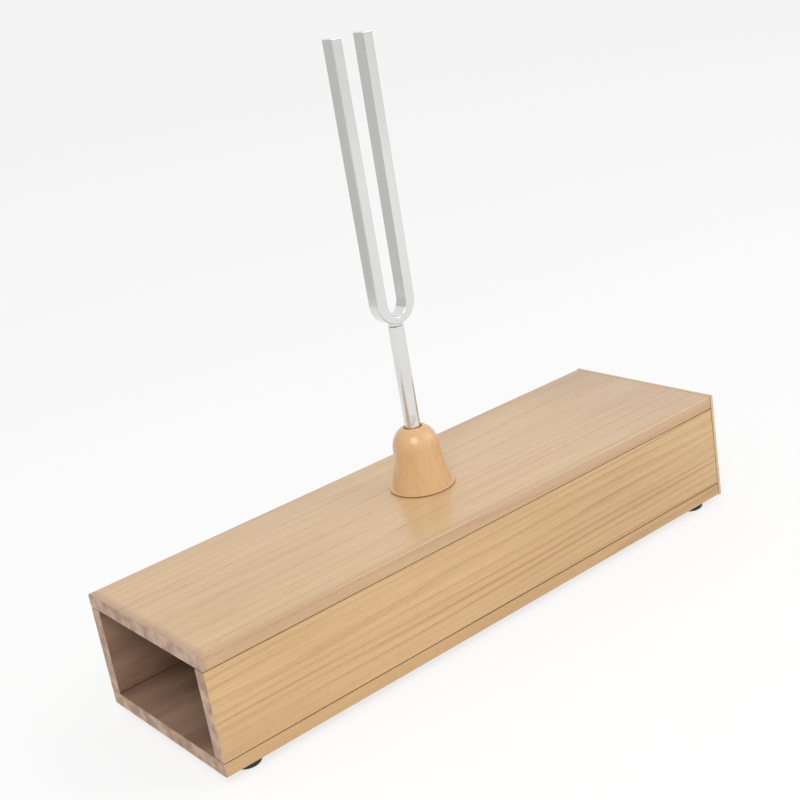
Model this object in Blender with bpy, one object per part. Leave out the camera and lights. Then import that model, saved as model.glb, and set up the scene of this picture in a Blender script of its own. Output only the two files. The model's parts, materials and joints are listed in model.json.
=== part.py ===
"""A 256 Hz tuning fork standing in a turned collar on its resonator box.

Units are metres. +X runs along the box towards its closed end, +Z is up, and the
long side seen in front faces -Y. The origin lies on the table, under the middle of
the box.
"""

import math

import bmesh
import bpy

# The box. Its length and walls are outside sizes.
BOX_LENGTH = 0.310
BOX_WIDTH = 0.093
BOX_HEIGHT = 0.055
TOP_THICKNESS = 0.0065
BOTTOM_THICKNESS = 0.0065
SIDE_THICKNESS = 0.0065
END_THICKNESS = 0.0025
BOX_EDGE_ROUND = 0.0012
MOUTH_ARRIS = 0.0003

# The turned collar, as heights above the top board and radii about its own axis.
COLLAR_FROM_OPEN_END = 0.156
COLLAR_BEHIND_MIDDLE = 0.0028
COLLAR_HEIGHT = 0.0308
COLLAR_BASE_RADIUS = 0.0157
COLLAR_LIP_HEIGHT = 0.0010
COLLAR_LIP_STEP = 0.0014
COLLAR_WAIST_RADIUS = 0.0111
COLLAR_WAIST_HEIGHT = 0.0190
COLLAR_FLARE_POWER = 1.6
COLLAR_DOME_POWER = 2.2
TENON_RADIUS = 0.0070
TENON_CHAMFER = 0.0006
SOCKET_FLOOR_HEIGHT = 0.0030
SOCKET_RIM_ROUND = 0.0005

# The fork's rod. Its length is without the spigot.
STEM_RADIUS = 0.0037
STEM_LENGTH = 0.0761
STEM_CLEARANCE = 0.0005
STEM_END_CHAMFER = 0.0008
STEM_SHOULDER_CHAMFER = 0.0003
SPIGOT_RADIUS = 0.0020
SPIGOT_LENGTH = 0.0024
SPIGOT_CHAMFER = 0.0003

# The fork's bar, bent to a U. It is thinner under the gap than along the tines, and a
# short boss below the bend takes the rod. The tine's length runs from the gap's floor.
TINE_LENGTH = 0.1253
TINE_THICKNESS = 0.0053
TINE_GAP = 0.0105
TINE_SPREAD = 0.0005
BAR_DEPTH = 0.0074
BAR_EDGE_ROUND = 0.0006
BEND_FLOOR_THICKNESS = 0.0034
BOSS_RADIUS = 0.0034
BOSS_HEIGHT = 0.0008

# The rubber feet and what holds them.
FOOT_RADIUS = 0.0065
FOOT_HEIGHT = 0.0040
FOOT_EDGE_ROUND = 0.0015
FOOT_INSET_FROM_END = 0.0150
FOOT_INSET_FROM_SIDE = 0.0095
FOOT_RECESS_RADIUS = 0.0037
FOOT_WEB_THICKNESS = 0.0012
WASHER_RADIUS = 0.0033
WASHER_THICKNESS = 0.0005
SCREW_SHANK_RADIUS = 0.0013
SCREW_HEAD_RADIUS = 0.0025
SCREW_HEAD_HEIGHT = 0.0013
SCREW_BITE = 0.0046
SCREW_POINT_LENGTH = 0.0016
SCREW_CROSS_LENGTH = 0.0028
SCREW_CROSS_WIDTH = 0.0007
SCREW_CROSS_DEPTH = 0.0008

# Glued and seated faces stand this far apart, and so do a hole and what fills it.
JOINT_GAP = 0.0003

# How finely round shapes are cut into flats.
COLLAR_SIDES = 56
STEM_SIDES = 40
FOOT_SIDES = 32
SMALL_SIDES = 20
FLARE_STEPS = 9
DOME_STEPS = 9
ROUND_STEPS = 4
OUTER_BEND_STEPS = 26
INNER_BEND_STEPS = 20

# Levels and lengths that follow from the sizes above.
BOX_FLOOR_Z = FOOT_HEIGHT + JOINT_GAP
BOX_TOP_Z = BOX_FLOOR_Z + BOX_HEIGHT
OPEN_END_X = -BOX_LENGTH / 2
CLOSED_END_X = BOX_LENGTH / 2
BOARD_END_X = CLOSED_END_X - END_THICKNESS - JOINT_GAP
FORK_AXIS_X = OPEN_END_X + COLLAR_FROM_OPEN_END
FORK_AXIS_Y = COLLAR_BEHIND_MIDDLE
STEM_FOOT_Z = BOX_TOP_Z + SOCKET_FLOOR_HEIGHT + JOINT_GAP
SHOULDER_Z = STEM_FOOT_Z + STEM_LENGTH


def clear_scene():
    for old in list(bpy.data.objects):
        bpy.data.objects.remove(old)


def make_material(name, color, roughness, metallic):
    material = bpy.data.materials.new(name)
    material.use_nodes = True
    shader = material.node_tree.nodes["Principled BSDF"]
    shader.inputs["Base Color"].default_value = (*color, 1.0)
    shader.inputs["Roughness"].default_value = roughness
    shader.inputs["Metallic"].default_value = metallic
    material.diffuse_color = (*color, 1.0)
    return material


def make_empty(name, location):
    empty = bpy.data.objects.new(name, None)
    bpy.context.scene.collection.objects.link(empty)
    empty.location = location
    return empty


def mesh_from(name, shape, smooth=False):
    """The finished mesh of a bmesh, with its faces turned outwards."""
    bmesh.ops.recalc_face_normals(shape, faces=shape.faces[:])
    mesh = bpy.data.meshes.new(name)
    shape.to_mesh(mesh)
    shape.free()
    if smooth:
        mesh.shade_smooth()
        mesh.set_sharp_from_angle(angle=math.radians(35))
    return mesh


def place(name, mesh, material, parent, location=(0, 0, 0)):
    part = bpy.data.objects.new(name, mesh)
    bpy.context.scene.collection.objects.link(part)
    if not mesh.materials:
        mesh.materials.append(material)
    part.parent = parent
    part.location = location
    return part


def hide_helper(helper):
    helper.hide_render = True
    helper.display_type = "WIRE"


def boolean(part, tool, operation):
    modifier = part.modifiers.new(operation.lower() + "_" + tool.name, "BOOLEAN")
    modifier.operation = operation
    modifier.object = tool
    hide_helper(tool)


def lathe(profile, sides, closed=False):
    """Turns a profile of (radius, height) points about Z. An open profile starts and ends on the axis."""
    shape = bmesh.new()
    rings = []
    for radius, height in profile:
        if radius == 0:
            rings.append([shape.verts.new((0, 0, height))])
            continue
        angles = [2 * math.pi * i / sides for i in range(sides)]
        rings.append([shape.verts.new((radius * math.cos(a), radius * math.sin(a), height)) for a in angles])
    pairs = list(zip(rings, rings[1:]))
    if closed:
        pairs.append((rings[-1], rings[0]))
    for low, high in pairs:
        for i in range(sides):
            j = (i + 1) % sides
            if len(low) == 1:
                shape.faces.new((low[0], high[j], high[i]))
            elif len(high) == 1:
                shape.faces.new((low[i], low[j], high[0]))
            else:
                shape.faces.new((low[i], low[j], high[j], high[i]))
    return shape


def arc(centre, radius, start_deg, end_deg, steps, rise=None):
    """Points on an arc, both ends included. With rise, it is part of an ellipse with that half height."""
    upright = radius if rise is None else rise
    points = []
    for i in range(steps + 1):
        angle = math.radians(start_deg + (end_deg - start_deg) * i / steps)
        points.append((centre[0] + radius * math.cos(angle), centre[1] + upright * math.sin(angle)))
    return points


def block(low, high):
    shape = bmesh.new()
    bmesh.ops.create_cube(shape, size=1.0)
    for vert in shape.verts:
        vert.co = [low[i] if vert.co[i] < 0 else high[i] for i in range(3)]
    return shape


def round_edges(shape, chosen, radius, steps):
    """Rounds each edge for which chosen(first point, second point) is true."""
    edges = [edge for edge in shape.edges if chosen(edge.verts[0].co, edge.verts[1].co)]
    bmesh.ops.bevel(
        shape,
        geom=edges,
        offset=radius,
        offset_type="OFFSET",
        segments=steps,
        profile=0.5,
        affect="EDGES",
        clamp_overlap=True,
    )


def on(value, level):
    return abs(value - level) < 1e-6


def long_board(name, low, high, material, parent, rounded_z=None):
    """A board that runs the length of the box. Its two long edges at rounded_z are rounded."""
    shape = block(low, high)
    if rounded_z is not None:
        round_edges(
            shape,
            lambda a, b: on(a.z, rounded_z) and on(b.z, rounded_z) and not on(a.x, b.x),
            BOX_EDGE_ROUND,
            ROUND_STEPS,
        )
    round_edges(shape, lambda a, b: on(a.x, low[0]) and on(b.x, low[0]), MOUTH_ARRIS, 1)
    return place(name, mesh_from(name, shape), material, parent)


def make_box(wood, pale_wood, parent):
    half_width = BOX_WIDTH / 2
    bottom_top_z = BOX_FLOOR_Z + BOTTOM_THICKNESS
    top_underside_z = BOX_TOP_Z - TOP_THICKNESS
    top = long_board(
        "top_board",
        (OPEN_END_X, -half_width, top_underside_z),
        (BOARD_END_X, half_width, BOX_TOP_Z),
        wood,
        parent,
        BOX_TOP_Z,
    )
    bottom = long_board(
        "bottom_board",
        (OPEN_END_X, -half_width, BOX_FLOOR_Z),
        (BOARD_END_X, half_width, bottom_top_z),
        wood,
        parent,
        BOX_FLOOR_Z,
    )
    for name, side in (("front_side_board", -1), ("rear_side_board", 1)):
        across = sorted((side * half_width, side * (half_width - SIDE_THICKNESS)))
        long_board(
            name,
            (OPEN_END_X, across[0], bottom_top_z + JOINT_GAP),
            (BOARD_END_X, across[1], top_underside_z - JOINT_GAP),
            wood,
            parent,
        )
    end = block(
        (CLOSED_END_X - END_THICKNESS, -half_width, BOX_FLOOR_Z),
        (CLOSED_END_X, half_width, BOX_TOP_Z),
    )
    round_edges(end, lambda a, b: on(a.x, CLOSED_END_X) and on(b.x, CLOSED_END_X), BOX_EDGE_ROUND, ROUND_STEPS)
    place("end_board", mesh_from("end_board", end), pale_wood, parent)
    return top, bottom


def collar_profile():
    """The bell's outline from the tenon's foot, up the outside, and down the socket to its floor."""
    base = JOINT_GAP
    tenon_foot = -TOP_THICKNESS
    lip_top = base + COLLAR_LIP_HEIGHT
    flare_radius = COLLAR_BASE_RADIUS - COLLAR_LIP_STEP
    waist = COLLAR_WAIST_HEIGHT
    points = [
        (0, tenon_foot),
        (TENON_RADIUS - TENON_CHAMFER, tenon_foot),
        (TENON_RADIUS, tenon_foot + TENON_CHAMFER),
        (TENON_RADIUS, base),
    ]
    lip_round = COLLAR_LIP_HEIGHT / 2
    points += arc((COLLAR_BASE_RADIUS - lip_round, base + lip_round), lip_round, -90, 90, ROUND_STEPS)
    for i in range(FLARE_STEPS + 1):
        height = lip_top + (waist - lip_top) * i / FLARE_STEPS
        share = (1 - i / FLARE_STEPS) ** COLLAR_FLARE_POWER
        points.append((COLLAR_WAIST_RADIUS + (flare_radius - COLLAR_WAIST_RADIUS) * share, height))
    rim_radius = STEM_RADIUS + STEM_CLEARANCE + SOCKET_RIM_ROUND
    rim_angle = math.acos((rim_radius / COLLAR_WAIST_RADIUS) ** (COLLAR_DOME_POWER / 2))
    for i in range(1, DOME_STEPS + 1):
        angle = rim_angle * i / DOME_STEPS
        radius = COLLAR_WAIST_RADIUS * math.cos(angle) ** (2 / COLLAR_DOME_POWER)
        rise = (COLLAR_HEIGHT - waist) * math.sin(angle) ** (2 / COLLAR_DOME_POWER)
        points.append((radius, waist + rise))
    rim_z = points[-1][1]
    socket_radius = STEM_RADIUS + STEM_CLEARANCE
    points.append((socket_radius, rim_z - SOCKET_RIM_ROUND))
    points.append((socket_radius, SOCKET_FLOOR_HEIGHT))
    points.append((0, SOCKET_FLOOR_HEIGHT))
    return points


def make_collar(turned_wood, top_board, parent):
    mesh = mesh_from("collar", lathe(collar_profile(), COLLAR_SIDES), smooth=True)
    place("collar", mesh, turned_wood, parent, (FORK_AXIS_X, FORK_AXIS_Y, BOX_TOP_Z))
    bore = TENON_RADIUS + JOINT_GAP
    reach = TOP_THICKNESS * 2
    drill = lathe([(0, -reach), (bore, -reach), (bore, reach), (0, reach)], COLLAR_SIDES)
    hole = place(
        "tenon_hole", mesh_from("tenon_hole", drill), turned_wood, parent, (FORK_AXIS_X, FORK_AXIS_Y, BOX_TOP_Z)
    )
    boolean(top_board, hole, "DIFFERENCE")


def make_stem(chrome, parent):
    """The rod stands on the socket's floor, and its spigot goes up into the bent bar."""
    spigot_top = STEM_LENGTH + SPIGOT_LENGTH
    profile = [
        (0, 0),
        (STEM_RADIUS - STEM_END_CHAMFER, 0),
        (STEM_RADIUS, STEM_END_CHAMFER),
        (STEM_RADIUS, STEM_LENGTH - STEM_SHOULDER_CHAMFER),
        (STEM_RADIUS - STEM_SHOULDER_CHAMFER, STEM_LENGTH),
        (SPIGOT_RADIUS, STEM_LENGTH),
        (SPIGOT_RADIUS, spigot_top - SPIGOT_CHAMFER),
        (SPIGOT_RADIUS - SPIGOT_CHAMFER, spigot_top),
        (0, spigot_top),
    ]
    mesh = mesh_from("fork_stem", lathe(profile, STEM_SIDES), smooth=True)
    place("fork_stem", mesh, chrome, parent, (0, 0, STEM_FOOT_Z))


def fork_outline():
    """The U in its own plane, above the boss's lower face: down the right tine and up the left one."""
    inner = TINE_GAP / 2
    outer = inner + TINE_THICKNESS
    bend_z = BOSS_HEIGHT + outer
    floor_z = BOSS_HEIGHT + BEND_FLOOR_THICKNESS
    tip_z = floor_z + TINE_LENGTH
    points = [(outer + TINE_SPREAD, tip_z)]
    points += arc((0, bend_z), outer, 0, -180, OUTER_BEND_STEPS)
    points += [(-outer - TINE_SPREAD, tip_z), (-inner - TINE_SPREAD, tip_z)]
    points += arc((0, bend_z), inner, -180, 0, INNER_BEND_STEPS, rise=bend_z - floor_z)
    points.append((inner + TINE_SPREAD, tip_z))
    return points, tip_z


def make_head(chrome, parent):
    """The bent bar with its boss. Its origin is the boss's lower face, on the stem's axis."""
    outline, tip_z = fork_outline()
    shape = bmesh.new()
    front = shape.faces.new([shape.verts.new((x, -BAR_DEPTH / 2, z)) for x, z in outline])
    extruded = bmesh.ops.extrude_face_region(shape, geom=[front])["geom"]
    back = [item for item in extruded if isinstance(item, bmesh.types.BMVert)]
    bmesh.ops.translate(shape, verts=back, vec=(0, BAR_DEPTH, 0))
    round_edges(
        shape,
        lambda a, b: on(a.y, b.y) or (on(a.z, tip_z) and on(b.z, tip_z)),
        BAR_EDGE_ROUND,
        3,
    )
    head = place(
        "fork_head", mesh_from("fork_head", shape, smooth=True), chrome, parent, (0, 0, SHOULDER_Z + JOINT_GAP)
    )
    sunk = BOSS_HEIGHT + BEND_FLOOR_THICKNESS / 2
    boss_profile = [(0, 0), (BOSS_RADIUS, 0), (BOSS_RADIUS, sunk), (0, sunk)]
    boss = place("boss_form", mesh_from("boss_form", lathe(boss_profile, STEM_SIDES)), chrome, head)
    bore = SPIGOT_RADIUS + JOINT_GAP
    depth = SPIGOT_LENGTH
    drill_profile = [(0, -depth), (bore, -depth), (bore, depth), (0, depth)]
    drill = place("spigot_hole", mesh_from("spigot_hole", lathe(drill_profile, STEM_SIDES)), chrome, head)
    boolean(head, boss, "UNION")
    boolean(head, drill, "DIFFERENCE")


def foot_mesh():
    """A ring with a rounded lower edge and a recess for the screw's head, standing on z = 0."""
    bore = SCREW_SHANK_RADIUS + JOINT_GAP
    web_z = FOOT_HEIGHT - FOOT_WEB_THICKNESS
    points = [(bore, FOOT_HEIGHT), (bore, web_z), (FOOT_RECESS_RADIUS, web_z), (FOOT_RECESS_RADIUS, 0)]
    points += arc((FOOT_RADIUS - FOOT_EDGE_ROUND, FOOT_EDGE_ROUND), FOOT_EDGE_ROUND, -90, 0, ROUND_STEPS)
    points.append((FOOT_RADIUS, FOOT_HEIGHT))
    return mesh_from("foot", lathe(points, FOOT_SIDES, closed=True), smooth=True)


def washer_mesh():
    bore = SCREW_SHANK_RADIUS + JOINT_GAP
    points = [(bore, 0), (WASHER_RADIUS, 0), (WASHER_RADIUS, WASHER_THICKNESS), (bore, WASHER_THICKNESS)]
    return mesh_from("foot_washer", lathe(points, SMALL_SIDES, closed=True), smooth=True)


def screw_mesh(shank_length):
    """A pan-head screw, head down: the head's seat is at z = 0 and the point is above it."""
    crown_z = -SCREW_HEAD_HEIGHT
    points = [(0, crown_z), (SCREW_HEAD_RADIUS * 0.6, crown_z), (SCREW_HEAD_RADIUS, crown_z / 2)]
    points += [(SCREW_HEAD_RADIUS, 0), (SCREW_SHANK_RADIUS, 0)]
    points += [(SCREW_SHANK_RADIUS, shank_length - SCREW_POINT_LENGTH), (0, shank_length)]
    return mesh_from("foot_screw", lathe(points, SMALL_SIDES), smooth=True)


def cross_mesh():
    """A plus-shaped cutter for the driver's recess, from below the head up to its depth."""
    arm = SCREW_CROSS_LENGTH / 2
    half = SCREW_CROSS_WIDTH / 2
    corners = [(arm, -half), (arm, half), (half, half), (half, arm), (-half, arm), (-half, half)]
    corners += [(-x, -y) for x, y in corners]
    floor_z = SCREW_CROSS_DEPTH - SCREW_HEAD_HEIGHT
    shape = bmesh.new()
    face = shape.faces.new([shape.verts.new((x, y, floor_z)) for x, y in corners])
    extruded = bmesh.ops.extrude_face_region(shape, geom=[face])["geom"]
    lower = [item for item in extruded if isinstance(item, bmesh.types.BMVert)]
    bmesh.ops.translate(shape, verts=lower, vec=(0, 0, -SCREW_HEAD_HEIGHT))
    return mesh_from("screw_cross", shape)


def make_feet(rubber, steel, bottom_board, parent):
    foot_shape = foot_mesh()
    washer_shape = washer_mesh()
    washer_z = FOOT_HEIGHT - FOOT_WEB_THICKNESS - JOINT_GAP - WASHER_THICKNESS
    seat_z = washer_z - JOINT_GAP
    shank_length = BOX_FLOOR_Z - seat_z + SCREW_BITE
    screw_shape = screw_mesh(shank_length)
    cross_shape = cross_mesh()
    pilot_radius = SCREW_SHANK_RADIUS + JOINT_GAP
    pilot_profile = [(0, -SCREW_BITE), (pilot_radius, -SCREW_BITE)]
    pilot_profile += [(pilot_radius, SCREW_BITE + JOINT_GAP), (0, SCREW_BITE + JOINT_GAP)]
    pilot_shape = mesh_from("pilot_hole", lathe(pilot_profile, SMALL_SIDES))
    for side, across in (("front", -1), ("rear", 1)):
        for end, along in (("open", -1), ("closed", 1)):
            x = along * (BOX_LENGTH / 2 - FOOT_INSET_FROM_END)
            y = across * (BOX_WIDTH / 2 - FOOT_INSET_FROM_SIDE)
            corner = side + "_" + end
            place("foot_" + corner, foot_shape, rubber, parent, (x, y, 0))
            place("foot_washer_" + corner, washer_shape, steel, parent, (x, y, washer_z))
            screw = place("foot_screw_" + corner, screw_shape, steel, parent, (x, y, seat_z))
            cross = place("screw_cross_" + corner, cross_shape, steel, parent, (x, y, seat_z))
            boolean(screw, cross, "DIFFERENCE")
            pilot = place("pilot_hole_" + corner, pilot_shape, steel, parent, (x, y, BOX_FLOOR_Z))
            boolean(bottom_board, pilot, "DIFFERENCE")


def main():
    clear_scene()
    wood = make_material("varnished_wood", (0.60, 0.38, 0.18), 0.32, 0.0)
    pale_wood = make_material("pale_wood", (0.72, 0.55, 0.34), 0.45, 0.0)
    turned_wood = make_material("turned_wood", (0.62, 0.36, 0.16), 0.28, 0.0)
    chrome = make_material("chrome", (0.78, 0.78, 0.76), 0.14, 1.0)
    rubber = make_material("black_rubber", (0.015, 0.016, 0.017), 0.6, 0.0)
    steel = make_material("zinc_steel", (0.55, 0.55, 0.54), 0.35, 1.0)

    box = make_empty("box", (0, 0, 0))
    fork = make_empty("fork_axis", (FORK_AXIS_X, FORK_AXIS_Y, 0))
    top_board, bottom_board = make_box(wood, pale_wood, box)
    make_collar(turned_wood, top_board, box)
    make_stem(chrome, fork)
    make_head(chrome, fork)
    make_feet(rubber, steel, bottom_board, box)


main()
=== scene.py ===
"""The looks of a tuning fork standing on its resonator box.

Metres, +Z up, +X along the box towards its closed end. Each visible piece is made
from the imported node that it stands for, with a procedural finish, and the boards'
edges are eased.
"""

import json
import math

import bmesh
import bpy
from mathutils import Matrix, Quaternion, Vector


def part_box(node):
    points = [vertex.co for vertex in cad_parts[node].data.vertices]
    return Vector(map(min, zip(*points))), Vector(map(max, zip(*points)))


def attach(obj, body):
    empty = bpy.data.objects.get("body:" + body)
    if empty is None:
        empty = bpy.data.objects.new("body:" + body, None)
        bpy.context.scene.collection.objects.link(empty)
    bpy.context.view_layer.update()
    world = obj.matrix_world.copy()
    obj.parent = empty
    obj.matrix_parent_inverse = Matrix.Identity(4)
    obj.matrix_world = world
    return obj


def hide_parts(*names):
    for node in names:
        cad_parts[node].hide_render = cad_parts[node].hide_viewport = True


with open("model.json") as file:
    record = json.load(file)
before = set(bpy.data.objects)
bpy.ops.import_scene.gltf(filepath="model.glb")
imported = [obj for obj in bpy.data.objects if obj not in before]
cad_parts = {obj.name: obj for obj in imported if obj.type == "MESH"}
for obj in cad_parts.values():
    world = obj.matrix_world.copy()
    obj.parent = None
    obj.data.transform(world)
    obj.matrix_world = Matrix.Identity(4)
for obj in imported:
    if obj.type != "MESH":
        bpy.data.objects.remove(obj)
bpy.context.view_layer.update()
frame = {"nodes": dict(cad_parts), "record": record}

# The camera, as in the photograph: angles in degrees, focal length in millimetres.
CAMERA_PLACE = (-0.3647, -0.4879, 0.3178)
CAMERA_AZIMUTH = -36.34
CAMERA_ELEVATION = 19.36
CAMERA_ROLL = -9.67
CAMERA_LENS = 63.16
CAMERA_SENSOR = 36.0

# How a node's mesh is cleaned, and how the boards' square edges are eased.
WELD_DISTANCE = 1e-6
FLAT_ANGLE = math.radians(0.2)
SQUARE_ANGLE = math.radians(60)
SMOOTH_ANGLE = math.radians(35)
EASED_EDGE = 0.00035
EASED_SEGMENTS = 2
EASED_PROFILE = 0.5
SHORTEST_EASED = 0.005

# Which of a board's materials a face takes. A face points a given way when its normal
# has more than this share in that direction.
# BARE is the inside's bare wood, whose colour holds painted shade.
VARNISHED, BARE, SAWN = 0, 1, 2
SAME_WAY = 0.5
MOUTHWARD = (-1, 0, 0)

# Colours are linear.
SIDE_LIGHT = (0.66, 0.43, 0.205)
SIDE_DARK = (0.42, 0.225, 0.080)
# The inside's bare wood is painted darker than raw wood: its colours hold painted shade as well as the
# wood's own tone.
SHADED_RAW_LIGHT = (0.36, 0.225, 0.145)
SHADED_RAW_DARK = (0.22, 0.125, 0.080)
SAWN_LIGHT = (0.62, 0.46, 0.33)
SAWN_DARK = (0.38, 0.24, 0.17)
SCORCHED = (0.36, 0.20, 0.135)
PORE = (0.24, 0.115, 0.045)
PLATING = (0.74, 0.74, 0.725)
SCUFFED_PLATING = (0.52, 0.49, 0.42)
RUBBER = (0.012, 0.012, 0.013)
WORN_RUBBER = (0.03, 0.03, 0.031)
ZINC = (0.55, 0.55, 0.54)
DULL_ZINC = (0.40, 0.40, 0.38)
WHITE = (1, 1, 1)

# The varnished woods. The pith line passes through pith and leans by tilt, in radians,
# and ring is the spacing of the rings about it. The shades are how dark rings and pores get.
TOP_WOOD = {
    "light": (0.66, 0.445, 0.235),
    "dark": (0.50, 0.285, 0.115),
    "pith": (0, 0.16, 0.03),
    "ring": 0.0068,
    "tilt": 0.2,
    "ring_shade": 0.42,
    "scorched": True,
    "gloss": 0.6,
}
FRONT_WOOD = {
    "light": SIDE_LIGHT,
    "dark": SIDE_DARK,
    "pith": (0, 0.05, 0.22),
    "ring": 0.0042,
    "tilt": 0.25,
    "ring_shade": 0.72,
    "pore_shade": 0.7,
}
REAR_WOOD = {
    "light": SIDE_LIGHT,
    "dark": SIDE_DARK,
    "pith": (0.1, -0.04, 0.20),
    "ring": 0.0047,
    "tilt": -0.22,
    "ring_shade": 0.70,
    "pore_shade": 0.7,
}
BOTTOM_WOOD = {
    "light": (0.60, 0.375, 0.165),
    "dark": (0.44, 0.240, 0.090),
    "pith": (0.2, 0.17, 0.05),
    "ring": 0.0052,
    "tilt": 0.15,
    "ring_shade": 0.6,
}
END_WOOD = {
    "light": (0.66, 0.50, 0.31),
    "dark": (0.55, 0.38, 0.21),
    "pith": (0.3, 0.04, 0.03),
    "ring": 0.0060,
    "ring_shade": 0.4,
    "pore_shade": 0.25,
}
TURNED_WOOD = {
    "light": (0.69, 0.42, 0.195),
    "dark": (0.60, 0.335, 0.135),
    "pith": (0.03, 0.02, 0),
    "ring": 0.0042,
    "tilt": 0.1,
    "upright": True,
    "ring_shade": 0.45,
    "pore_shade": 0.3,
    "gloss": 0.7,
}

# Scales of a wood's noises, per metre, along the grain and across it.
WANDER_SCALE = (2.2, 46)
BOLD_SCALE = (4, 120)
FIBRE_SCALE = (16, 950)
BROAD_SCALE = (6, 26)
FLECK_SCALE = (230, 2300)
RING_STRETCH = (0.06, 1)

# Scales of the other noises, per metre, along X, Y and Z.
RAW_TONE_SCALE = (9, 70, 70)
RAW_SPECK_SCALE = (60, 900, 900)
SAWN_TONE_SCALE = (40, 160, 160)
SAWN_SPECK_SCALE = (500, 1500, 1500)
KERF_SCALE = (0, 90, 1500)
DRAWN_SCALE = (900, 900, 14)
CLOUD_SCALE = (45, 45, 30)
NICK_SCALE = (700, 700, 420)
RUBBER_SCALE = (1400, 1400, 1400)
ZINC_SCALE = (900, 900, 900)

# How many finer layers a noise has, and how rough those are where they aren't even.
COARSE_DETAIL = 2.0
DETAIL = 3.0
FINE_DETAIL = 4.0
FIBRE_ROUGHNESS = 0.62
SPECK_ROUGHNESS = 0.65

# A ring texture of this scale has its rings one metre apart. The rings sway by some of
# their own spacings, and the texture distorts them further.
RING_SCALE = math.tau / 20
SWAY_IN_RINGS = 4.5
RING_DISTORTION = 2.4
RING_DETAIL_SCALE = 0.35
RING_DETAIL_ROUGHNESS = 0.55

# A fade is the two levels of its input that it runs between, then, unless they are
# 0 and 1, what it gives at each.
BOLD_FADE = (0.34, 0.66, 0.2, 1.0)
LATE_WOOD_FADE = (0.45, 0.98)
FLECK_FADE = (0.60, 0.70)
BROAD_FADE = (0.35, 0.75, 0.0, 0.30)
FIBRE_FADE = (0.42, 0.72, 0.0, 0.34)
NEAR_RING_FADE = (0.0, 1.0, 0.25, 1.0)
PATCHY_FADE = (0.25, 0.65, 0.5, 1.0)
VARNISH_FADE = (0.3, 0.8, 0.34, 0.56)
TONE_FADE = (0.30, 0.70)
SPECK_FADE = (0.52, 0.68, 0.0, 0.6)
KERF_FADE = (0.50, 0.75, 0.0, 0.45)
NICK_FADE = (0.52, 0.64)
CLOUD_FADE = (0.35, 0.75, 0.0, 0.16)
PLATING_FADE = (0.3, 0.8, 0.09, 0.20)
RUBBER_FADE = (0.3, 0.7, 0.5, 0.72)
ZINC_FADE = (0.3, 0.7, 0.25, 0.45)

# A bump is its strength and its height.
GRAIN_BUMP = (0.22, 0.00012)
BARE_BUMP = (0.6, 0.0003)
DRAWN_BUMP = (0.05, 0.00005)
SCUFF_BUMP = (0.35, 0.00008)
RUBBER_BUMP = (0.3, 0.0001)

# Varnish is darkened this far in from the closed end, the mouth and the long edges, and
# by these shares.
FAR_SCORCH_LENGTH = 0.085
FAR_SCORCH = 0.42
MOUTH_SCORCH_LENGTH = 0.006
MOUTH_SCORCH = 0.85
SIDE_SCORCH_WIDTH = 0.005
SIDE_SCORCH = 0.35

COAT_ROUGHNESS = 0.16
BARE_ROUGHNESS = 0.82
FLECK_DEPTH = 0.6

# Scuffing starts this far above the collar's top and is full just above it.
SCUFF_STARTS = 0.010
SCUFF_IS_FULL = 0.001
SCUFF_SHADE = 0.8
SCUFF_ROUGHNESS = 0.25

# The stage. A card shows only in reflections.
FLOOR_SIZE = (90.0, 90.0)
FLOOR_COLOR = (0.86, 0.86, 0.86)
FLOOR_GLOW = 1.04
FLOOR_GLOW_SHARE = 0.72
CARDS = {
    "grey_card": {
        "place": (-0.32, 0.44, 0.14),
        "size": (0.55, 0.40),
        "facing": (0.59, -0.81, 0),
        "level": 0.66,
    },
    "dark_card": {
        "place": (-0.52, -0.36, 0.12),
        "size": (0.13, 0.60),
        "facing": (0.82, 0.57, 0),
        "level": 0.10,
    },
}
LIGHTS = {
    "key": {"place": (-0.75, -0.85, 1.15), "size": 0.8, "energy": 10.5},
    "fill": {"place": (0.95, -0.80, 0.75), "size": 0.9, "energy": 4.5},
}
WORLD_LIGHT = 0.62
WORLD_SEEN = 1.0

TOP_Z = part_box("top_board")[1].z
COLLAR_TOP_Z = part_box("collar")[1].z
OPEN_END_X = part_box("top_board")[0].x
CLOSED_END_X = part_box("end_board")[1].x
HALF_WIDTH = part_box("top_board")[1].y


def add(tree, kind, inputs=None, **settings):
    """A node with its settings, and with each named input linked or set."""
    made = tree.nodes.new(kind)
    for key, value in settings.items():
        setattr(made, key, value)
    for key, value in (inputs or {}).items():
        if isinstance(value, bpy.types.NodeSocket):
            tree.links.new(value, made.inputs[key])
        else:
            made.inputs[key].default_value = value
    return made


def new_material(name):
    material = bpy.data.materials.new(name)
    material.use_nodes = True
    tree = material.node_tree
    return material, tree, tree.nodes["Principled BSDF"]


def empty_material(name):
    """A material with no nodes, for the stage."""
    material = bpy.data.materials.new(name)
    material.use_nodes = True
    material.node_tree.nodes.clear()
    return material, material.node_tree


def opaque(color):
    return (*color, 1.0)


def mix(tree, share, first, second):
    """The first colour blended with the second by share. Either is a socket or a colour."""
    colors = [c if isinstance(c, bpy.types.NodeSocket) else opaque(c) for c in (first, second)]
    made = add(tree, "ShaderNodeMix", {0: share, 6: colors[0], 7: colors[1]}, data_type="RGBA")
    return made.outputs[2]


def calculate(tree, operation, first, second):
    made = add(tree, "ShaderNodeMath", {0: first, 1: second}, operation=operation)
    return made.outputs[0]


def fade(tree, value, start, end, low=0.0, high=1.0):
    """Low where value is at start, high where it is at end, and held beyond both."""
    inputs = {"Value": value, "From Min": start, "From Max": end, "To Min": low, "To Max": high}
    return add(tree, "ShaderNodeMapRange", inputs, interpolation_type="SMOOTHSTEP").outputs["Result"]


def place_coordinates(tree):
    """Coordinates in the object's own frame, whole and as X, Y and Z."""
    whole = add(tree, "ShaderNodeTexCoord").outputs["Object"]
    split = add(tree, "ShaderNodeSeparateXYZ", {0: whole})
    return whole, split.outputs


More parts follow.
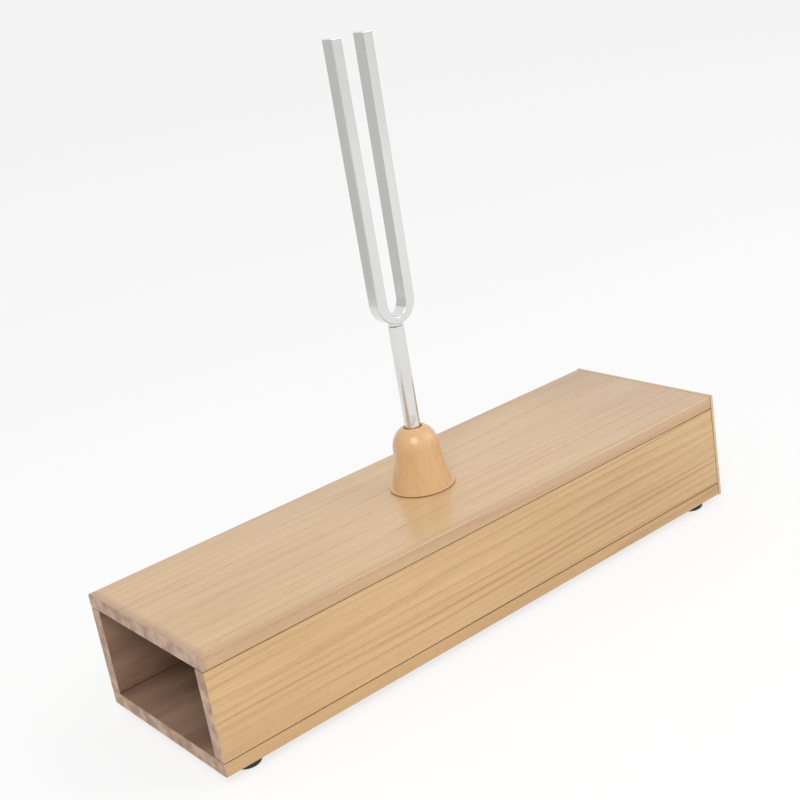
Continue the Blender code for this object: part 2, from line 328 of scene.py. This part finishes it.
def stretched_noise(tree, place, scale, detail=DETAIL, offset=(0, 0, 0), roughness=0.5):
    """Noise with its own scale, per metre, along each axis."""
    mapping = add(tree, "ShaderNodeMapping", {"Vector": place, "Scale": scale, "Location": offset})
    inputs = {"Vector": mapping.outputs[0], "Scale": 1.0, "Detail": detail, "Roughness": roughness}
    return add(tree, "ShaderNodeTexNoise", inputs).outputs["Fac"]


def bump(tree, height, strength, distance, under=None):
    inputs = {"Height": height, "Strength": strength, "Distance": distance}
    if under is not None:
        inputs["Normal"] = under
    return add(tree, "ShaderNodeBump", inputs).outputs[0]


def seen_directly(tree):
    """1 for the camera and in reflections and glass, and 0 for other rays."""
    rays = add(tree, "ShaderNodeLightPath").outputs
    seen = calculate(tree, "MAXIMUM", rays["Is Camera Ray"], rays["Is Glossy Ray"])
    return calculate(tree, "MAXIMUM", seen, rays["Is Transmission Ray"])


def scorching(tree, axis, broad):
    """How far varnish has darkened near the closed end, the mouth and the long edges."""
    across = calculate(tree, "ABSOLUTE", axis[1], 0.0)
    far = fade(tree, axis[0], CLOSED_END_X - FAR_SCORCH_LENGTH, CLOSED_END_X, 0.0, FAR_SCORCH)
    mouth = fade(tree, axis[0], OPEN_END_X + MOUTH_SCORCH_LENGTH, OPEN_END_X, 0.0, MOUTH_SCORCH)
    side = fade(tree, across, HALF_WIDTH - SIDE_SCORCH_WIDTH, HALF_WIDTH, 0.0, SIDE_SCORCH)
    edges = calculate(tree, "MAXIMUM", calculate(tree, "MAXIMUM", far, mouth), side)
    return calculate(tree, "MULTIPLY", edges, fade(tree, broad, *PATCHY_FADE))


def growth_rings(tree, place, scaled, pith, ring, tilt, upright):
    """Rings about the pith line, which rise to 1 and then drop, and sway along the grain."""
    wander = stretched_noise(tree, place, scaled(WANDER_SCALE), DETAIL, pith)
    sway = calculate(tree, "MULTIPLY", wander, ring * SWAY_IN_RINGS)
    shift = add(tree, "ShaderNodeCombineXYZ", {1: sway, 2: sway}).outputs[0]
    moved = add(tree, "ShaderNodeVectorMath", {0: place, 1: shift}, operation="ADD").outputs[0]
    lean = (0, tilt, 0) if upright else (0, tilt, tilt)
    inputs = {"Vector": moved, "Location": pith, "Rotation": lean, "Scale": scaled(RING_STRETCH)}
    inputs = {
        "Vector": add(tree, "ShaderNodeMapping", inputs).outputs[0],
        "Scale": RING_SCALE / ring,
        "Distortion": RING_DISTORTION,
        "Detail": DETAIL,
        "Detail Scale": RING_DETAIL_SCALE,
        "Detail Roughness": RING_DETAIL_ROUGHNESS,
    }
    kind = {"wave_type": "RINGS", "rings_direction": "Z" if upright else "X", "wave_profile": "SAW"}
    return add(tree, "ShaderNodeTexWave", inputs, **kind).outputs["Fac"]


def wood(
    name,
    light,
    dark,
    pith,
    ring,
    ring_shade,
    tilt=0.0,
    upright=False,
    pore_shade=0.5,
    scorched=False,
    gloss=0.5,
):
    """Varnished wood. The grain runs along X, or along Z where upright. Gloss is the varnish's weight."""
    material, tree, shader = new_material(name)
    place, axis = place_coordinates(tree)
    along = 2 if upright else 0

    def scaled(scale):
        lengthwise, across = scale
        return tuple(lengthwise if i == along else across for i in range(3))

    rings = growth_rings(tree, place, scaled, pith, ring, tilt, upright)
    bold = fade(tree, stretched_noise(tree, place, scaled(BOLD_SCALE), COARSE_DETAIL, pith), *BOLD_FADE)
    late = calculate(tree, "MULTIPLY", fade(tree, rings, *LATE_WOOD_FADE), bold)
    fibre = stretched_noise(tree, place, scaled(FIBRE_SCALE), FINE_DETAIL, pith, FIBRE_ROUGHNESS)
    broad = stretched_noise(tree, place, scaled(BROAD_SCALE), COARSE_DETAIL, pith)
    flecks = fade(tree, stretched_noise(tree, place, scaled(FLECK_SCALE), COARSE_DETAIL, pith), *FLECK_FADE)
    pores = calculate(tree, "MULTIPLY", flecks, fade(tree, late, *NEAR_RING_FADE))

    color = mix(tree, calculate(tree, "MULTIPLY", late, ring_shade), light, dark)
    color = mix(tree, fade(tree, broad, *BROAD_FADE), color, dark)
    color = mix(tree, fade(tree, fibre, *FIBRE_FADE), color, dark)
    color = mix(tree, calculate(tree, "MULTIPLY", pores, pore_shade), color, PORE)
    if scorched:
        color = mix(tree, scorching(tree, axis, broad), color, SCORCHED)
    tree.links.new(color, shader.inputs["Base Color"])
    tree.links.new(fade(tree, fibre, *VARNISH_FADE), shader.inputs["Roughness"])
    shader.inputs["Coat Weight"].default_value = gloss
    shader.inputs["Coat Roughness"].default_value = COAT_ROUGHNESS
    raised = calculate(tree, "SUBTRACT", fibre, calculate(tree, "MULTIPLY", flecks, FLECK_DEPTH))
    tree.links.new(bump(tree, raised, *GRAIN_BUMP), shader.inputs["Normal"])
    return material


def bare_wood(name, light, dark, tone_scale, speck_scale, kerfs=False):
    """Unvarnished wood. Kerfs are the saw's marks across a cut end."""
    material, tree, shader = new_material(name)
    place, _ = place_coordinates(tree)
    tone = stretched_noise(tree, place, tone_scale)
    speck = stretched_noise(tree, place, speck_scale, FINE_DETAIL, roughness=SPECK_ROUGHNESS)
    color = mix(tree, fade(tree, tone, *TONE_FADE), light, dark)
    color = mix(tree, fade(tree, speck, *SPECK_FADE), color, dark)
    if kerfs:
        kerf = stretched_noise(tree, place, KERF_SCALE)
        color = mix(tree, fade(tree, kerf, *KERF_FADE), color, SCORCHED)
    tree.links.new(color, shader.inputs["Base Color"])
    shader.inputs["Roughness"].default_value = BARE_ROUGHNESS
    tree.links.new(bump(tree, speck, *BARE_BUMP), shader.inputs["Normal"])
    return material


def plating():
    """Bright plating with fine drawn lines, scuffed where the stem goes into the collar."""
    material, tree, shader = new_material("fork_plating")
    place, axis = place_coordinates(tree)
    drawn = stretched_noise(tree, place, DRAWN_SCALE)
    cloud = stretched_noise(tree, place, CLOUD_SCALE)
    nicks = fade(tree, stretched_noise(tree, place, NICK_SCALE), *NICK_FADE)
    low_down = fade(tree, axis[2], COLLAR_TOP_Z + SCUFF_STARTS, COLLAR_TOP_Z + SCUFF_IS_FULL)
    worn = calculate(tree, "MULTIPLY", nicks, low_down)
    color = mix(tree, fade(tree, cloud, *CLOUD_FADE), PLATING, SCUFFED_PLATING)
    color = mix(tree, calculate(tree, "MULTIPLY", worn, SCUFF_SHADE), color, SCUFFED_PLATING)
    tree.links.new(color, shader.inputs["Base Color"])
    shader.inputs["Metallic"].default_value = 1.0
    dulled = calculate(tree, "MULTIPLY", worn, SCUFF_ROUGHNESS)
    rough = calculate(tree, "ADD", fade(tree, drawn, *PLATING_FADE), dulled)
    tree.links.new(rough, shader.inputs["Roughness"])
    lines = bump(tree, drawn, *DRAWN_BUMP)
    tree.links.new(bump(tree, worn, *SCUFF_BUMP, lines), shader.inputs["Normal"])
    return material


def rubber():
    material, tree, shader = new_material("foot_rubber")
    place, _ = place_coordinates(tree)
    grain = stretched_noise(tree, place, RUBBER_SCALE)
    tree.links.new(mix(tree, grain, RUBBER, WORN_RUBBER), shader.inputs["Base Color"])
    tree.links.new(fade(tree, grain, *RUBBER_FADE), shader.inputs["Roughness"])
    tree.links.new(bump(tree, grain, *RUBBER_BUMP), shader.inputs["Normal"])
    return material


def zinc():
    material, tree, shader = new_material("zinc_plated_steel")
    place, _ = place_coordinates(tree)
    bloom = stretched_noise(tree, place, ZINC_SCALE)
    tree.links.new(mix(tree, bloom, ZINC, DULL_ZINC), shader.inputs["Base Color"])
    shader.inputs["Metallic"].default_value = 1.0
    tree.links.new(fade(tree, bloom, *ZINC_FADE), shader.inputs["Roughness"])
    return material


def body_of_node(node):
    bodies = frame["record"]["behaviour"]["bodies"]
    return next(body for body, members in bodies.items() if node in members)


def slot_of_node(node):
    return next(part["material_slot"] for part in frame["record"]["subparts"] if part["node"] == node)


def ease_edges(shape):
    """Rounds the long square edges."""
    long = [e for e in shape.edges if e.calc_length() > SHORTEST_EASED]
    square = [e for e in long if e.calc_face_angle(0) > SQUARE_ANGLE]
    bmesh.ops.bevel(
        shape,
        geom=square,
        offset=EASED_EDGE,
        offset_type="OFFSET",
        segments=EASED_SEGMENTS,
        profile=EASED_PROFILE,
        affect="EDGES",
    )


def dress(node, materials, choose=None, ease=False):
    """A finished piece with the node's own shape. Choose gives a face's material from its normal."""
    source = frame["nodes"][node].data
    mesh = bpy.data.meshes.new(node + "_finished")
    mesh.from_pydata([v.co for v in source.vertices], [], [tuple(p.vertices) for p in source.polygons])
    shape = bmesh.new()
    shape.from_mesh(mesh)
    bmesh.ops.remove_doubles(shape, verts=shape.verts, dist=WELD_DISTANCE)
    bmesh.ops.dissolve_limit(shape, angle_limit=FLAT_ANGLE, verts=shape.verts, edges=shape.edges)
    bmesh.ops.recalc_face_normals(shape, faces=shape.faces[:])
    if ease:
        ease_edges(shape)
    if choose:
        for face in shape.faces:
            face.material_index = choose(face.normal)
    shape.to_mesh(mesh)
    shape.free()
    mesh.shade_smooth()
    mesh.set_sharp_from_angle(angle=SMOOTH_ANGLE)
    for material in materials:
        mesh.materials.append(material)
    piece = bpy.data.objects.new(node + "_finished", mesh)
    bpy.context.scene.collection.objects.link(piece)
    weighted = piece.modifiers.new("even_normals", "WEIGHTED_NORMAL")
    weighted.keep_sharp = True
    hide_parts(node)
    slot_of_node(node)
    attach(piece, body_of_node(node))


def points(normal, direction):
    return normal.dot(Vector(direction)) > SAME_WAY


def board_faces(inward):
    """Chooses sawn wood at the mouth, bare wood darkened with painted shade on the side that faces inward,
    and varnish elsewhere.
    """

    def choose(normal):
        if points(normal, MOUTHWARD):
            return SAWN
        return BARE if points(normal, inward) else VARNISHED

    return choose


def end_board_faces(normal):
    """Bare wood darkened with painted shade inside the box, and varnish elsewhere."""
    return BARE if points(normal, MOUTHWARD) else VARNISHED


def make_boards():
    # The inside's bare wood holds painted shade along with its own tone.
    shaded_raw = bare_wood("bare_inside_painted_shade", SHADED_RAW_LIGHT, SHADED_RAW_DARK, RAW_TONE_SCALE, RAW_SPECK_SCALE)
    sawn = bare_wood("sawn_end", SAWN_LIGHT, SAWN_DARK, SAWN_TONE_SCALE, SAWN_SPECK_SCALE, kerfs=True)
    boards = (
        ("top", "top_board", TOP_WOOD, (0, 0, -1)),
        ("bottom", "bottom_board", BOTTOM_WOOD, (0, 0, 1)),
        ("front", "front_side_board", FRONT_WOOD, (0, 1, 0)),
        ("rear", "rear_side_board", REAR_WOOD, (0, -1, 0)),
    )
    for name, node, kind, inward in boards:
        dress(node, [wood(name + "_varnish", **kind), shaded_raw, sawn], board_faces(inward), ease=True)
    dress("end_board", [wood("end_varnish", **END_WOOD), shaded_raw], end_board_faces, ease=True)


def make_fittings():
    metal = plating()
    black = rubber()
    steel = zinc()
    dress("collar", [wood("turned_varnish", **TURNED_WOOD)])
    dress("fork_stem", [metal])
    dress("fork_head", [metal])
    for node in sorted(frame["nodes"]):
        if node.startswith(("foot_screw", "foot_washer")):
            dress(node, [steel])
        elif node.startswith("foot_"):
            dress(node, [black])


def stage_plane(name, place, size, facing, material):
    """A flat stage piece of width and height size, which faces the given way."""
    mesh = bpy.data.meshes.new(name)
    x, y = size[0] / 2, size[1] / 2
    mesh.from_pydata([(-x, -y, 0), (x, -y, 0), (x, y, 0), (-x, y, 0)], [], [(0, 1, 2, 3)])
    mesh.materials.append(material)
    plane = bpy.data.objects.new(name, mesh)
    bpy.context.scene.collection.objects.link(plane)
    plane.location = place
    plane.rotation_euler = Vector(facing).to_track_quat("Z", "Y").to_euler()
    return plane


def floor_material():
    """A pale floor that shows as near white to the camera and in reflections, and keeps the shadow."""
    material, tree = empty_material("pale_floor")
    matt = add(tree, "ShaderNodeBsdfDiffuse", {"Color": opaque(FLOOR_COLOR)})
    glow = add(tree, "ShaderNodeEmission", {"Color": opaque(WHITE), "Strength": FLOOR_GLOW})
    share = calculate(tree, "MULTIPLY", seen_directly(tree), FLOOR_GLOW_SHARE)
    shown = add(tree, "ShaderNodeMixShader", {0: share, 1: matt.outputs[0], 2: glow.outputs[0]})
    add(tree, "ShaderNodeOutputMaterial", {"Surface": shown.outputs[0]})
    return material


def card_material(name, level):
    material, tree = empty_material(name)
    glow = add(tree, "ShaderNodeEmission", {"Color": opaque((level, level, level)), "Strength": 1.0})
    add(tree, "ShaderNodeOutputMaterial", {"Surface": glow.outputs[0]})
    return material


def make_stage():
    stage_plane("floor", (0, 0, 0), FLOOR_SIZE, (0, 0, 1), floor_material())
    for name, card in CARDS.items():
        material = card_material(name, card["level"])
        plane = stage_plane(name, card["place"], card["size"], card["facing"], material)
        plane.visible_camera = False
        plane.visible_diffuse = False
        plane.visible_shadow = False
        plane.visible_transmission = False


def area_light(name, place, size, energy):
    """A square light that faces the middle of the box's top."""
    data = bpy.data.lights.new(name, "AREA")
    data.shape = "SQUARE"
    data.size = size
    data.energy = energy
    light = bpy.data.objects.new(name, data)
    bpy.context.scene.collection.objects.link(light)
    light.location = place
    light.rotation_euler = (Vector(place) - Vector((0, 0, TOP_Z))).to_track_quat("Z", "Y").to_euler()


def make_world():
    """A white world, dimmer as a light than it looks."""
    world = bpy.data.worlds.new("studio")
    bpy.context.scene.world = world
    world.use_nodes = True
    tree = world.node_tree
    tree.nodes.clear()
    strength = fade(tree, seen_directly(tree), 0.0, 1.0, WORLD_LIGHT, WORLD_SEEN)
    background = add(tree, "ShaderNodeBackground", {"Color": opaque(WHITE), "Strength": strength})
    add(tree, "ShaderNodeOutputWorld", {"Surface": background.outputs[0]})


def make_lights():
    for name, light in LIGHTS.items():
        area_light(name, **light)
    make_world()


def make_camera():
    data = bpy.data.cameras.new("camera")
    data.lens = CAMERA_LENS
    data.sensor_width = CAMERA_SENSOR
    camera = bpy.data.objects.new("camera", data)
    bpy.context.scene.collection.objects.link(camera)
    turn, rise = math.radians(CAMERA_AZIMUTH), math.radians(CAMERA_ELEVATION)
    back = Vector((math.sin(turn) * math.cos(rise), -math.cos(turn) * math.cos(rise), math.sin(rise)))
    level = (-back).to_track_quat("-Z", "Y")
    camera.rotation_mode = "QUATERNION"
    camera.rotation_quaternion = level @ Quaternion((0, 0, 1), math.radians(CAMERA_ROLL))
    camera.location = CAMERA_PLACE
    bpy.context.scene.camera = camera


make_camera()
make_boards()
make_fittings()
make_stage()
make_lights()
bpy.context.scene.view_settings.view_transform = "Standard"
